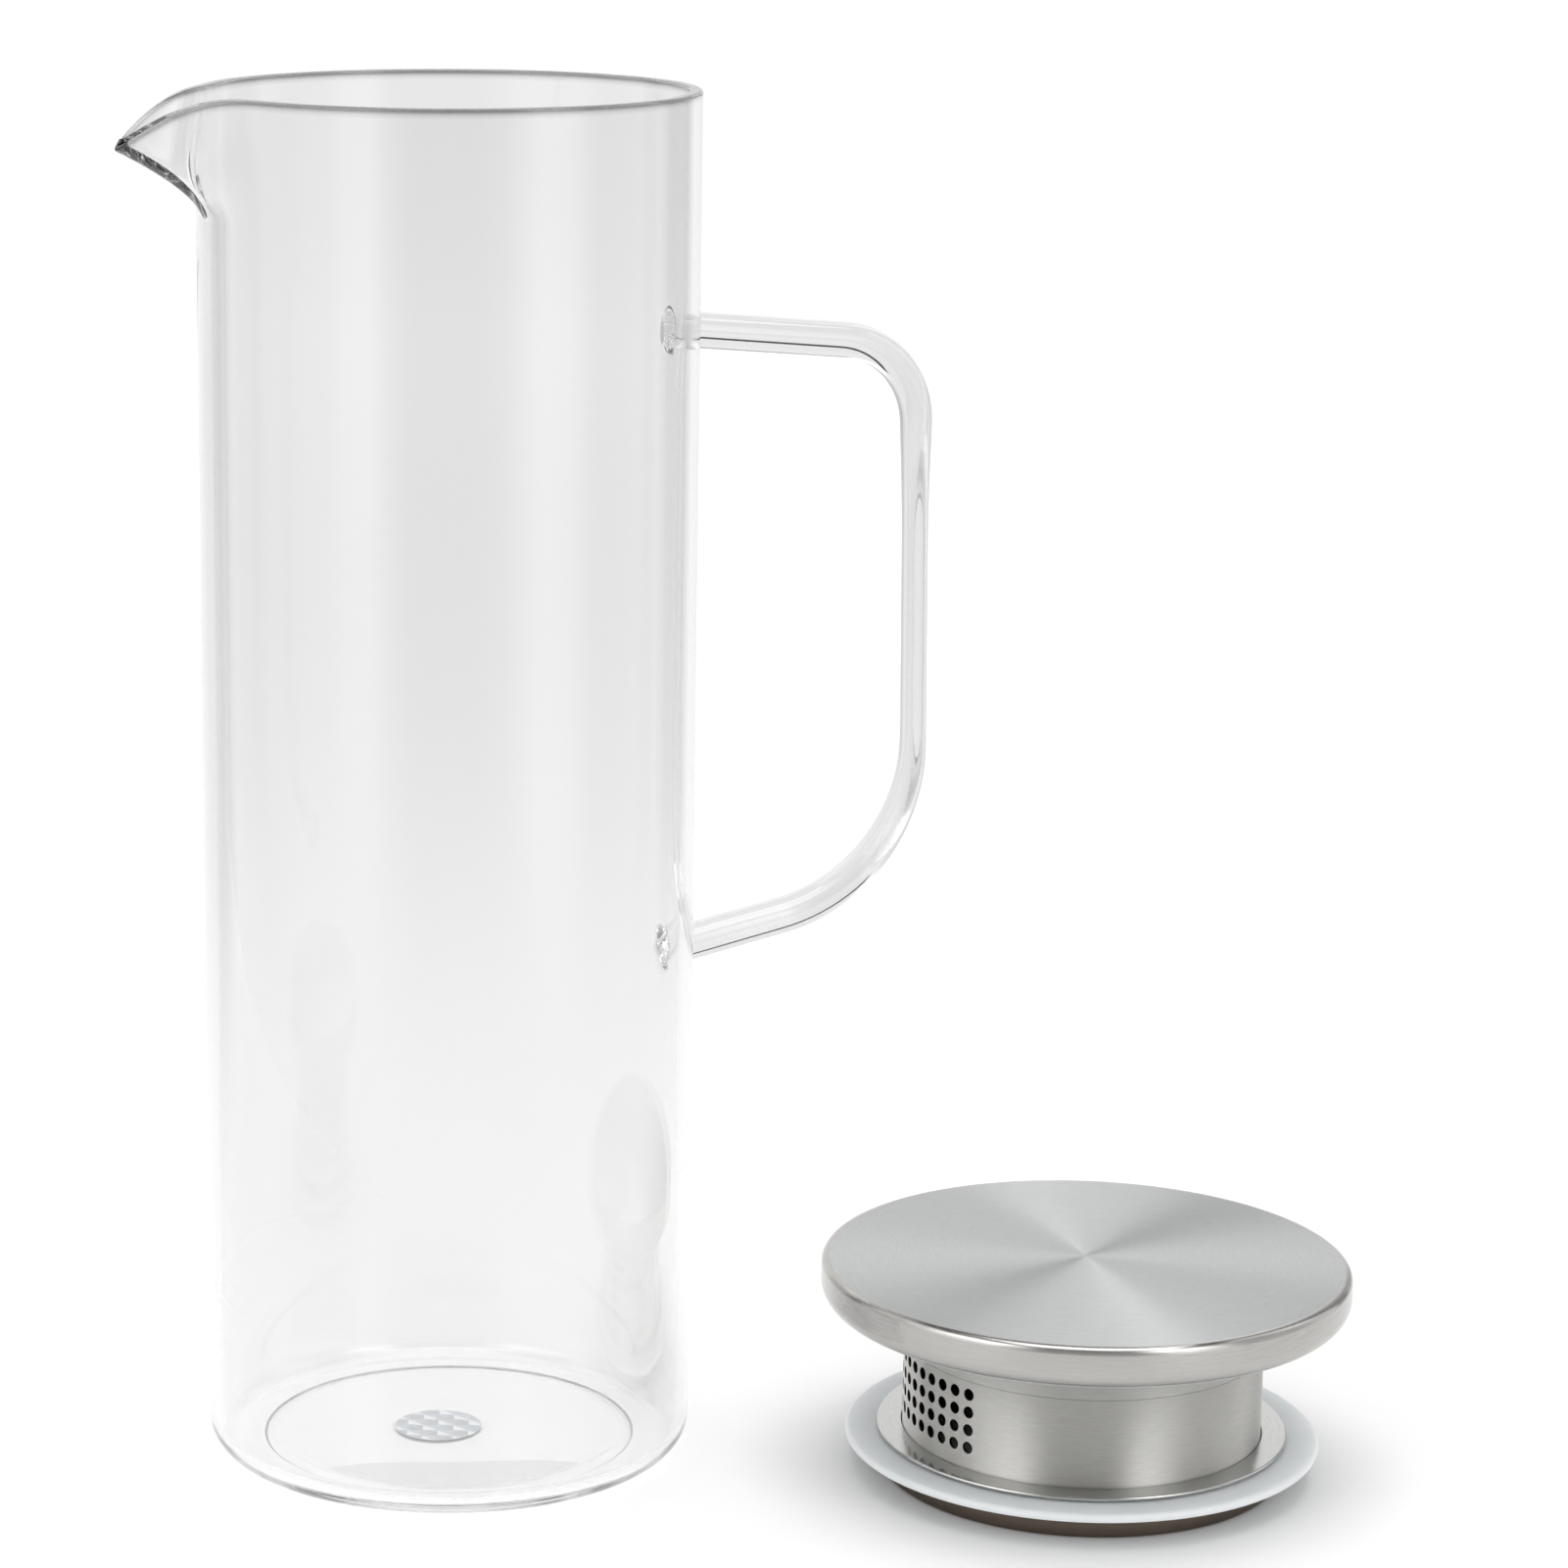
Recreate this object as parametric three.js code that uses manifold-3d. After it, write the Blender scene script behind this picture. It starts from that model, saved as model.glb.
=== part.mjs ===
// Water pitcher of clear glass, with its steel strainer lid taken off and stood beside it.
// Millimetres, +Z up, the table at z = 0. The handle points to +X and the spout to -X.
// The origin is the middle of the pair's footprint on the table.
import * as THREE from 'three';
import { mergeVertices } from 'three/addons/utils/BufferGeometryUtils.js';
import Module from 'manifold-3d';

const wasm = await Module();
wasm.setup();

// Running gap between pieces that are joined or rest on each other
const clearance = 0.3;

// Glass body: a straight tube with a pulled spout and a base pushed up in the middle
const bodyRadius = 50;
const bodyHeight = 280.5;
const bodyWall = 2.8;
const rimRound = 0.6;
const footCorner = 6;
const footLand = 5.5;
const pushUpRise = 0.8;
const pushUpEdge = 4.5;
const floorFlatRadius = 13;
const floorThickness = 3;
const floorCorner = 3.2;

// Spout: how far it reaches past the wall, how far its lip dips, and the zone that it is pulled from
const spoutReach = 17.4;
const spoutDip = 10.3;
const spoutDepth = 25;
const spoutHalfAngle = 30;
const spoutTipSoftness = 3;
const spoutSharpness = 3;
const spoutDipSharpness = 1.6;
const spoutFlare = 1.6;

// Handle: a drawn glass rod, oval in section, thinner along the grip
const handleTopHeight = 231;
const handleTopFall = 5.7;
const handleLowHeight = 102;
const handleLowRise = 11;
const gripTopReach = 101.4;
const gripLowReach = 103;
const handleTopBend = 18;
const handleLowBend = 36;
const handleWidth = 9;
const armThickness = 7.4;
const gripThickness = 4.6;
const gripLength = 36;
const weldSpread = 2;
const weldLength = 5;

// Foil dot stuck under the base
const dotRadius = 9;
const dotThickness = 0.2;
const dotOffset = 2.4;

// Lid: pressed steel cap over a perforated neck, with a silicone ring held between two flanges
const capRadius = 54.1;
const capThickness = 10;
const capCrown = 0.8;
const capTopRound = 1.6;
const capLowRound = 4.3;
const capLip = 1.8;
const sheet = 0.8;
const neckRadius = 36.8;
const neckSheet = 0.5;
const neckFootGap = 0.8;
const collarHeight = 8.3;
const collarSpigot = 2.1;
const baseRingRadius = 41.4;
const baseRingHeight = 5.6;
const rolledEdge = 0.9;
const rollStart = 84;
const sealRadius = 48.6;
const sealThickness = 1.8;
const upperFlangeRadius = 42.1;
const lidHeight = 45;

// Strainer holes, in a patch that faces the spout
const holeDiameter = 2.5;
const holePitch = 3.75;
const holeRows = 4;
const holeColumns = 10;
const lowestHoleHeight = 13.2;

// The lid stands clear of the handle, so that it can be lifted straight up past it
const lidOut = 118.4;
const liftGap = 1.3;

// Facets
const ringSegments = 48;
const arcSteps = 4;
const shoulderSteps = 3;
const crownShares = [0, 0.4, 0.7];
const rodSides = 12;
const rodSteps = 66;
const holeSides = 8;

// Facets of the glass body: its columns, in degrees from the spout, are closest round the spout's tip
const tipStep = 1.5;
const tipEnd = 9;
const spoutStep = 3;
const spoutEnd = 36;
const backStep = 9;
const spoutLevels = [0, 0.3, 0.53, 0.7, 0.83, 0.93, 1];
const rimSteps = 2;
const pushUpSteps = 3;

const rad = THREE.MathUtils.degToRad;

// Finishes
const clearGlass = { color: 0xe4e8e8, roughness: 0.03, metalness: 0, transparent: true, opacity: 0.35 };
const brushedSteel = { color: 0xc4c4c2, roughness: 0.3, metalness: 1 };
const silicone = { color: 0xd6dce0, roughness: 0.45, metalness: 0 };
const foil = { color: 0xc3d3df, roughness: 0.2, metalness: 0.8 };

// Points of an arc from one angle to another, both ends included
function arc(centreR, centreZ, radius, fromDegrees, toDegrees, steps = arcSteps) {
  return Array.from({ length: steps + 1 }, (_, i) => {
    const angle = rad(fromDegrees + ((toDegrees - fromDegrees) * i) / steps);
    return [centreR + radius * Math.cos(angle), centreZ + radius * Math.sin(angle)];
  });
}

// Turns a geometry into a solid: corners merged, slivers dropped
function solidOf(geometry) {
  const bare = geometry.clone();
  bare.deleteAttribute('normal');
  bare.deleteAttribute('uv');
  const merged = mergeVertices(bare, 1e-4);
  const corners = merged.index.array;
  const kept = [];
  for (let i = 0; i < corners.length; i += 3) {
    const [a, b, c] = [corners[i], corners[i + 1], corners[i + 2]];
    if (a !== b && b !== c && c !== a) kept.push(a, b, c);
  }
  return new wasm.Manifold(new wasm.Mesh({
    numProp: 3,
    vertProperties: new Float32Array(merged.attributes.position.array),
    triVerts: new Uint32Array(kept),
  }));
}

function geometryOf(solid) {
  const mesh = solid.getMesh();
  const geometry = new THREE.BufferGeometry();
  geometry.setAttribute('position', new THREE.BufferAttribute(new Float32Array(mesh.vertProperties), 3));
  geometry.setIndex(new THREE.BufferAttribute(new Uint32Array(mesh.triVerts), 1));
  geometry.computeVertexNormals();
  return geometry;
}

function piece(name, geometry, finish) {
  const mesh = new THREE.Mesh(geometry, new THREE.MeshStandardMaterial(finish));
  mesh.name = name;
  return mesh;
}

// A closed profile of [radius, height] points, anticlockwise, turned round the Z axis
function turned(profile) {
  const points = [...profile, profile[0]].map(([r, z]) => new THREE.Vector2(r, z));
  const lathe = new THREE.LatheGeometry(points, ringSegments).rotateX(Math.PI / 2);
  return geometryOf(solidOf(lathe));
}

// A skin through closed rings of points, with a fan over each end
function skinned(rings, firstCentre, lastCentre) {
  const count = rings[0].length;
  const positions = [...rings.flat(), firstCentre, lastCentre].flatMap((p) => [p.x, p.y, p.z]);
  const first = rings.length * count;
  const faces = [];
  for (let side = 0; side < count; side += 1) {
    const next = (side + 1) % count;
    faces.push(first, next, side);
    for (let i = 0; i + 1 < rings.length; i += 1) {
      const [a, b] = [i * count + side, i * count + next];
      faces.push(a, b, b + count, a, b + count, a + count);
    }
    const last = (rings.length - 1) * count;
    faces.push(first + 1, last + side, last + next);
  }
  const geometry = new THREE.BufferGeometry();
  geometry.setAttribute('position', new THREE.Float32BufferAttribute(positions, 3));
  geometry.setIndex(faces);
  return geometry;
}

// Glass body

// Share of the spout's pull at an angle from its middle: 1 at the tip, 0 at its two ends
function spoutShare(angle) {
  const soft = Math.hypot(angle, spoutTipSoftness) - spoutTipSoftness;
  return Math.max(0, 1 - soft / spoutHalfAngle) ** spoutSharpness;
}

// A point of the outer skin: angle from the spout in degrees, level 0 to 1 up the pulled zone
function outerSkin(angle, level) {
  const share = spoutShare(angle);
  const radius = bodyRadius + spoutReach * share * level ** spoutFlare;
  const lipHeight = bodyHeight - rimRound - spoutDip * share ** spoutDipSharpness;
  const zoneFoot = bodyHeight - spoutDepth;
  const turn = Math.PI + rad(angle);
  const height = zoneFoot + (lipHeight - zoneFoot) * level;
  return new THREE.Vector3(radius * Math.cos(turn), radius * Math.sin(turn), height);
}

// The outward direction of that skin, and the direction up along it
function skinFrame(angle, level) {
  const step = 0.01;
  const across = outerSkin(angle + step, level).sub(outerSkin(angle - step, level));
  const low = Math.max(level - step, 0);
  const up = outerSkin(angle, level + step).sub(outerSkin(angle, low)).normalize();
  const out = across.cross(up).normalize();
  return { out, up };
}

function glassBody() {
  const back = 180;
  const angles = [];
  for (let a = 0; a < tipEnd; a += tipStep) angles.push(a);
  for (let a = tipEnd; a < spoutEnd; a += spoutStep) angles.push(a);
  for (let a = spoutEnd; a < back; a += backStep) angles.push(a);
  const columns = [...angles.slice(1).map((a) => -a).reverse(), ...angles, back];

  const ring = (place) => columns.map(place);
  const round = (radius, height) => ring((a) => {
    const turn = Math.PI + rad(a);
    return new THREE.Vector3(radius * Math.cos(turn), radius * Math.sin(turn), height);
  });

  const footOuter = bodyRadius - footCorner;
  const footInner = footOuter - footLand;
  const rings = [];

  // Rings of [radius, height] from a raised flat middle down to the foot's inner edge
  const pushedUp = (flatRadius, spread) => Array.from({ length: pushUpSteps + 1 }, (_, i) => {
    const turn = (i / pushUpSteps) * (Math.PI / 2);
    return [flatRadius + (footInner - flatRadius) * spread(turn), pushUpRise * Math.cos(turn)];
  });

  // Underside, which drops steeply to the foot, and the corner up to the wall
  pushedUp(footInner - pushUpEdge, Math.sin).forEach(([r, z]) => rings.push(round(r, z)));
  arc(footOuter, footCorner, footCorner, -90, 0).forEach(([r, z]) => rings.push(round(r, z)));

  // Outer skin of the pulled zone, the lip with its two fire-polished edges, and the inner skin back down
  spoutLevels.forEach((level) => rings.push(ring((a) => outerSkin(a, level))));
  const outerEdge = arc(-rimRound, 0, rimRound, 0, 90, rimSteps).slice(1);
  const innerEdge = arc(rimRound - bodyWall, 0, rimRound, 90, 180, rimSteps).slice(0, -1);
  [...outerEdge, ...innerEdge].forEach(([across, rise]) => rings.push(ring((a) => {
    const { out, up } = skinFrame(a, 1);
    return outerSkin(a, 1).addScaledVector(out, across).addScaledVector(up, rise);
  })));
  [...spoutLevels].reverse().forEach((level) => rings.push(ring((a) => (
    outerSkin(a, level).addScaledVector(skinFrame(a, level).out, -bodyWall)
  ))));

  // Inner corner, and the floor, which rises gently over the push-up
  const innerRadius = bodyRadius - bodyWall;
  arc(innerRadius - floorCorner, floorThickness + floorCorner, floorCorner, 0, -90)
    .forEach(([r, z]) => rings.push(round(r, z)));
  const floor = pushedUp(floorFlatRadius, (turn) => turn / (Math.PI / 2));
  floor.reverse().forEach(([r, z]) => rings.push(round(r, z + floorThickness)));

  const middle = (height) => new THREE.Vector3(0, 0, height);
  return geometryOf(solidOf(skinned(rings, middle(pushUpRise), middle(pushUpRise + floorThickness))));
}

// Glass handle

// Adds a straight run towards a corner of the path, and an arc round that corner
function addCorner(path, from, corner, to, radius) {
  const back = from.clone().sub(corner).normalize();
  const onward = to.clone().sub(corner).normalize();
  const half = back.angleTo(onward) / 2;
  const inward = back.clone().add(onward).normalize();
  const centre = corner.clone().addScaledVector(inward, radius / Math.sin(half));
  const leave = corner.clone().addScaledVector(back, radius / Math.tan(half)).sub(centre);
  const join = corner.clone().addScaledVector(onward, radius / Math.tan(half)).sub(centre);
  path.lineTo(centre.x + leave.x, centre.y + leave.y);
  path.absarc(centre.x, centre.y, radius, leave.angle(), join.angle(), true);
}

// The rod's centre line in its own plane, out along the top arm, down the grip and back along the low arm
function handleLine() {
  const wallR = bodyRadius - bodyWall;
  const onArm = (height, slope, r) => new THREE.Vector2(r, height + (r - bodyRadius) * Math.tan(rad(slope)));
  const start = onArm(handleTopHeight, -handleTopFall, wallR);
  const top = onArm(handleTopHeight, -handleTopFall, gripTopReach);
  const low = onArm(handleLowHeight, handleLowRise, gripLowReach);
  const end = onArm(handleLowHeight, handleLowRise, wallR);
  const path = new THREE.Path().moveTo(start.x, start.y);
  addCorner(path, start, top, low, handleTopBend);
  addCorner(path, top, low, end, handleLowBend);
  return path.lineTo(end.x, end.y);
}

function glassHandle() {
  const line = handleLine();
  const handleHeight = handleTopHeight - handleLowHeight;
  const handleMiddle = (handleTopHeight + handleLowHeight) / 2;
  const rings = Array.from({ length: rodSteps + 1 }, (_, step) => {
    const centre = line.getPointAt(step / rodSteps);
    const along = line.getTangentAt(step / rodSteps);
    const arm = THREE.MathUtils.smoothstep(2 * Math.abs(centre.y - handleMiddle), gripLength, handleHeight);
    const spread = weldSpread * Math.exp(-(((centre.x - bodyRadius) / weldLength) ** 2));
    const thick = THREE.MathUtils.lerp(gripThickness, armThickness, arm) + spread;
    const wide = handleWidth + spread;
    return Array.from({ length: rodSides }, (_side, side) => {
      const angle = (side / rodSides) * 2 * Math.PI;
      const lift = (thick / 2) * Math.cos(angle);
      return new THREE.Vector3(
        centre.x - lift * along.y,
        -(wide / 2) * Math.sin(angle),
        centre.y + lift * along.x,
      );
    });
  });
  const end = (share) => new THREE.Vector3(line.getPointAt(share).x, 0, line.getPointAt(share).y);
  const rod = solidOf(skinned(rings, end(0), end(1)));

  // The ends follow the round of the wall that they are welded to
  const wallCut = new THREE.CylinderGeometry(
    bodyRadius + clearance, bodyRadius + clearance, bodyHeight, ringSegments * 2,
  ).rotateX(Math.PI / 2).translate(0, 0, bodyHeight / 2);
  return geometryOf(rod.subtract(solidOf(wallCut)));
}

function foilDot() {
  const top = pushUpRise;
  const disc = turned([[0, top - dotThickness], [dotRadius, top - dotThickness], [dotRadius, top], [0, top]]);
  return disc.translate(-dotOffset, 0, 0);
}

// Lid, on its own axis with its foot at z = 0

const neckInside = neckRadius - neckSheet;
const collarInside = neckRadius + clearance;
const capFoot = lidHeight - capThickness;
const plateFoot = capFoot + sheet + clearance;
const collarTop = plateFoot - clearance;
const neckTop = collarTop - collarHeight - clearance;
const sealFoot = baseRingHeight + clearance;
const upperFlangeFoot = sealFoot + sealThickness + clearance;

function capShell() {
  const topEnd = capRadius - capTopRound;
  const shoulder = lidHeight - capCrown - capTopRound;
  const crowned = (share) => lidHeight - capCrown * share ** 2;
  const crown = crownShares.map((share) => [topEnd * share, crowned(share)]);
  const bellyR = capRadius - capLowRound;
  const bellyZ = capFoot + capLowRound;
  return turned([
    ...crown.map(([r, z]) => [r, z - sheet]),
    ...arc(topEnd, shoulder, capTopRound - sheet, 90, 0),
    ...arc(bellyR, bellyZ, capLowRound - sheet, 0, -90),
    [bellyR - capLip, capFoot + sheet],
    [bellyR - capLip, capFoot],
    ...arc(bellyR, bellyZ, capLowRound, -90, 0),
    ...arc(topEnd, shoulder, capTopRound, 0, 90),
    ...crown.reverse(),
  ]);
}

// A flat disc that lies on the shell's turned-in lip and closes the cap from below
function capUnderplate() {
  const radius = capRadius - capLowRound;
  return turned([[0, plateFoot], [radius, plateFoot], [radius, plateFoot + sheet], [0, plateFoot + sheet]]);
}

function neckCollar() {
  const spigotOuter = neckInside - clearance;
  const spigotInner = spigotOuter - sheet;
  const sleeveFoot = collarTop - collarHeight;
  return turned([
    [spigotInner, sleeveFoot - collarSpigot],
    [spigotOuter, sleeveFoot - collarSpigot],
    [spigotOuter, sleeveFoot],
    [neckRadius, sleeveFoot],
    [neckRadius, collarTop],
    [spigotInner, collarTop],
  ]);
}

function strainerNeck() {
  const tube = turned([
    [neckInside, neckFootGap],
    [neckRadius, neckFootGap],
    [neckRadius, neckTop],
    [neckInside, neckTop],
  ]);
  const columnAngle = holePitch / neckRadius;
  const punchLength = 4 * neckSheet;
  const punches = [];
  for (let column = 0; column < holeColumns; column += 1) {
    const turn = Math.PI + (column - (holeColumns - 1) / 2) * columnAngle;
    for (let row = 0; row < holeRows; row += 1) {
      const punch = new THREE.CylinderGeometry(holeDiameter / 2, holeDiameter / 2, punchLength, holeSides);
      punch.rotateZ(Math.PI / 2);
      punch.translate(neckRadius - neckSheet / 2, 0, lowestHoleHeight + row * holePitch);
      punches.push(solidOf(punch.rotateZ(turn)));
    }
  }
  return geometryOf(wasm.Manifold.difference([solidOf(tube), ...punches]));
}

function upperFlange() {
  const foot = upperFlangeFoot;
  const edge = sheet / 2;
  return turned([
    [collarInside, foot],
    ...arc(upperFlangeRadius - edge, foot + edge, edge, -90, 90),
    [collarInside, foot + sheet],
  ]);
}

function sealRing() {
  const edge = sealThickness / 2;
  return turned([
    [collarInside, sealFoot],
    ...arc(sealRadius - edge, sealFoot + edge, edge, -90, 90),
    [collarInside, sealFoot + sealThickness],
  ]);
}

// A channel pressed from sheet, open below, with its outer edge rolled under
function baseRing() {
  const rollR = baseRingRadius - rolledEdge;
  const shoulder = sheet / 2;
  return turned([
    [collarInside, 0],
    [collarInside + sheet, 0],
    [collarInside + sheet, baseRingHeight - sheet],
    [baseRingRadius - sheet, baseRingHeight - sheet],
    ...arc(rollR, rolledEdge, rolledEdge, rollStart, 360, 2 * arcSteps),
    ...arc(baseRingRadius - shoulder, baseRingHeight - shoulder, shoulder, 0, 90, shoulderSteps),
    [collarInside, baseRingHeight],
  ]);
}

// The pair on the table

const lidForward = handleWidth / 2 + Math.sqrt((capRadius + liftGap) ** 2 - (lidOut - gripLowReach) ** 2);
const spoutTip = bodyRadius + spoutReach;
const middleX = (lidOut + capRadius - spoutTip) / 2;
const middleY = (bodyRadius - lidForward - capRadius) / 2;

const pitcher = new THREE.Group();
pitcher.position.set(-middleX, -middleY, 0);
pitcher.add(
  piece('glass_body', glassBody(), clearGlass),
  piece('glass_handle', glassHandle(), clearGlass),
  piece('foil_dot', foilDot(), foil),
);

const lid = new THREE.Group();
lid.position.set(lidOut - middleX, -lidForward - middleY, 0);
lid.add(
  piece('cap_shell', capShell(), brushedSteel),
  piece('cap_underplate', capUnderplate(), brushedSteel),
  piece('neck_collar', neckCollar(), brushedSteel),
  piece('strainer_neck', strainerNeck(), brushedSteel),
  piece('upper_flange', upperFlange(), brushedSteel),
  piece('seal_ring', sealRing(), silicone),
  piece('base_ring', baseRing(), brushedSteel),
);

const pair = new THREE.Group();
pair.add(pitcher, lid);

export default pair;
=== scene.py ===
# Water pitcher of clear glass, with its steel strainer lid taken off and stood beside it.
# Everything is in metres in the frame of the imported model, and real sizes are written in millimetres.
import math

import bmesh
import bpy
from mathutils import Euler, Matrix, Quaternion, Vector


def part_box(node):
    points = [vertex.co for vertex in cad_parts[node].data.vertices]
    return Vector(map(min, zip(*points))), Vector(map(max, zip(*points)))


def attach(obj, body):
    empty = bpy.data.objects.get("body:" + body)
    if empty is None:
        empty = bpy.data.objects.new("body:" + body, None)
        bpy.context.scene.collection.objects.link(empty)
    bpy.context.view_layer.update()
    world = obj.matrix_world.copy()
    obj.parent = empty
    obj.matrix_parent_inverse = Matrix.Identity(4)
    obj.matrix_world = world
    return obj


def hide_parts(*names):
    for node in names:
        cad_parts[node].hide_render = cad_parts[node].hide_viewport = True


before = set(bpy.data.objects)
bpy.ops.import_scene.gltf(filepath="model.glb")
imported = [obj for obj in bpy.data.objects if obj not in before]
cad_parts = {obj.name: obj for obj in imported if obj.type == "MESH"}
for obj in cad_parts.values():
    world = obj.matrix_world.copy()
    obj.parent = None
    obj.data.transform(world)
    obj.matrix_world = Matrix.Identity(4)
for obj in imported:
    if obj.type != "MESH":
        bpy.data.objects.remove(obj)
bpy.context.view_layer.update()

MM = 0.001

# Pitcher body: one piece of clear borosilicate glass, drawn as a tube and closed at the foot in the lathe.
# Its cut rim has fire-polished edges, and the spout is pulled out of the soft rim with a paddle.
body_low, body_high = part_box("glass_body")
BODY_RADIUS = (body_high.y - body_low.y) / 2
BODY_HEIGHT = body_high.z
PITCHER_AXIS = Vector((body_high.x - BODY_RADIUS, (body_low.y + body_high.y) / 2, 0))
BODY_WALL = 2.8 * MM
RIM_ROUND = 0.6 * MM
FOOT_CORNER = 6 * MM
FOOT_LAND = 5.5 * MM
PUSH_UP_RISE = 0.8 * MM
PUSH_UP_EDGE = 4.5 * MM
PUSH_UP_STEPS = 10
FLOOR_FLAT = 13 * MM
FLOOR_THICKNESS = 3 * MM
FLOOR_CORNER = 3.2 * MM
SPOUT_REACH = 17.4 * MM
SPOUT_DIP = 10.3 * MM
SPOUT_DEPTH = 25 * MM
SPOUT_HALF_ANGLE = 30
SPOUT_TIP_SOFTNESS = 3
SPOUT_SHARPNESS = 3
SPOUT_DIP_SHARPNESS = 1.6
SPOUT_FLARE = 1.6
SPOUT_ROWS = 32
WELD_ROW = 2.5 * MM
BODY_SEGMENTS = 360
MERGE_GAP = 0.002 * MM


def arc(centre_r, centre_z, radius, start, end, steps):
    """Points of an arc in a half section, from one angle to another in degrees, both ends included."""
    turns = [math.radians(start + (end - start) * i / steps) for i in range(steps + 1)]
    return [(centre_r + radius * math.cos(t), centre_z + radius * math.sin(t)) for t in turns]


def between(first, last, steps):
    """Points of a straight run, without its first one."""
    return [tuple(a + (b - a) * i / steps for a, b in zip(first, last)) for i in range(1, steps + 1)]


def turn_profile(name, points, axis, segments, closed=False):
    """Extrudes a corner along a half section of (radius, height) points, and spins that round the axis."""
    bpy.ops.object.select_all(action="DESELECT")
    corners = [axis + Vector((r, 0, z)) for r, z in points]
    bpy.ops.mesh.primitive_plane_add(size=MM, location=corners[0])
    turned = bpy.context.object
    turned.name = name
    bpy.ops.object.transform_apply(location=True)
    bpy.ops.object.mode_set(mode="EDIT")
    bpy.ops.mesh.merge(type="CENTER")
    loop = corners + corners[:1] if closed else corners
    for here, there in zip(loop, loop[1:]):
        bpy.ops.mesh.extrude_region_move(TRANSFORM_OT_translate={"value": there - here})
    bpy.ops.mesh.select_all(action="SELECT")
    bpy.ops.mesh.spin(steps=segments, angle=2 * math.pi, center=axis, axis=(0, 0, 1))
    bpy.ops.mesh.select_all(action="SELECT")
    bpy.ops.mesh.remove_doubles(threshold=MERGE_GAP)
    bpy.ops.mesh.normals_make_consistent(inside=False)
    bpy.ops.object.mode_set(mode="OBJECT")
    return turned


def spout_share(angle):
    """How much of the spout's pull there is at an angle from its middle: 1 at the tip, 0 at its two ends."""
    soft = math.hypot(angle, SPOUT_TIP_SOFTNESS) - SPOUT_TIP_SOFTNESS
    return max(0, 1 - soft / SPOUT_HALF_ANGLE) ** SPOUT_SHARPNESS


LIP_START = BODY_HEIGHT - RIM_ROUND
ZONE_FOOT = BODY_HEIGHT - SPOUT_DEPTH
SKIN_STEP = 0.01


def outer_skin(angle, level):
    """A point of the pulled skin, from the axis: degrees from the spout, and level 0 to 1 up the zone."""
    share = spout_share(angle)
    radius = BODY_RADIUS + SPOUT_REACH * share * level ** SPOUT_FLARE
    lip = LIP_START - SPOUT_DIP * share ** SPOUT_DIP_SHARPNESS
    turn = math.pi + math.radians(angle)
    return Vector((radius * math.cos(turn), radius * math.sin(turn), ZONE_FOOT + (lip - ZONE_FOOT) * level))


def pulled(offset):
    """Where a point of the straight tube goes when the spout is pulled: it keeps its depth under the skin."""
    angle = math.degrees(math.atan2(-offset.y, -offset.x))
    level = min(1, (offset.z - ZONE_FOOT) / (LIP_START - ZONE_FOOT))
    across = outer_skin(angle + SKIN_STEP, level) - outer_skin(angle - SKIN_STEP, level)
    up = (outer_skin(angle, level + SKIN_STEP) - outer_skin(angle, max(level - SKIN_STEP, 0))).normalized()
    out = across.cross(up).normalized()
    depth = BODY_RADIUS - math.hypot(offset.x, offset.y)
    return outer_skin(angle, level) - depth * out + max(0, offset.z - LIP_START) * up


handle_low, handle_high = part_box("glass_handle")
weld_foot = handle_low.z - WELD_ROW
weld_top = handle_high.z + WELD_ROW
weld_rows = round((handle_high.z - handle_low.z) / WELD_ROW)
foot_outer = BODY_RADIUS - FOOT_CORNER
foot_inner = foot_outer - FOOT_LAND
bore = BODY_RADIUS - BODY_WALL
inner_corner = bore - FLOOR_CORNER
floor_bend = FLOOR_THICKNESS + FLOOR_CORNER
quarter_turn = [math.pi / 2 * i / PUSH_UP_STEPS for i in range(PUSH_UP_STEPS + 1)]
push_up = [
    (foot_inner - PUSH_UP_EDGE * (1 - math.sin(turn)), PUSH_UP_RISE * math.cos(turn)) for turn in quarter_turn
]
floor = [
    (
        FLOOR_FLAT + (foot_inner - FLOOR_FLAT) * turn / (math.pi / 2),
        FLOOR_THICKNESS + PUSH_UP_RISE * math.cos(turn),
    )
    for turn in quarter_turn
]
body_section = [
    (0, PUSH_UP_RISE),
    *push_up,
    *arc(foot_outer, FOOT_CORNER, FOOT_CORNER, -90, 0, steps=12),
    (BODY_RADIUS, weld_foot),
    *between((BODY_RADIUS, weld_foot), (BODY_RADIUS, weld_top), steps=weld_rows),
    *between((BODY_RADIUS, weld_top), (BODY_RADIUS, ZONE_FOOT), steps=2),
    *between((BODY_RADIUS, ZONE_FOOT), (BODY_RADIUS, LIP_START), steps=SPOUT_ROWS)[:-1],
    *arc(BODY_RADIUS - RIM_ROUND, LIP_START, RIM_ROUND, 0, 90, steps=8),
    *between((BODY_RADIUS - RIM_ROUND, BODY_HEIGHT), (bore + RIM_ROUND, BODY_HEIGHT), steps=4),
    *arc(bore + RIM_ROUND, LIP_START, RIM_ROUND, 90, 180, steps=8)[1:],
    *between((bore, LIP_START), (bore, ZONE_FOOT), steps=SPOUT_ROWS),
    *between((bore, ZONE_FOOT), (bore, floor_bend), steps=8)[:-1],
    *arc(inner_corner, floor_bend, FLOOR_CORNER, 0, -90, steps=14),
    *reversed(floor),
    (0, PUSH_UP_RISE + FLOOR_THICKNESS),
]
pitcher = turn_profile("pitcher_glass", body_section, PITCHER_AXIS, BODY_SEGMENTS)
for corner in pitcher.data.vertices:
    offset = corner.co - PITCHER_AXIS
    if offset.z > ZONE_FOOT:
        corner.co = PITCHER_AXIS + pulled(offset)

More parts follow.
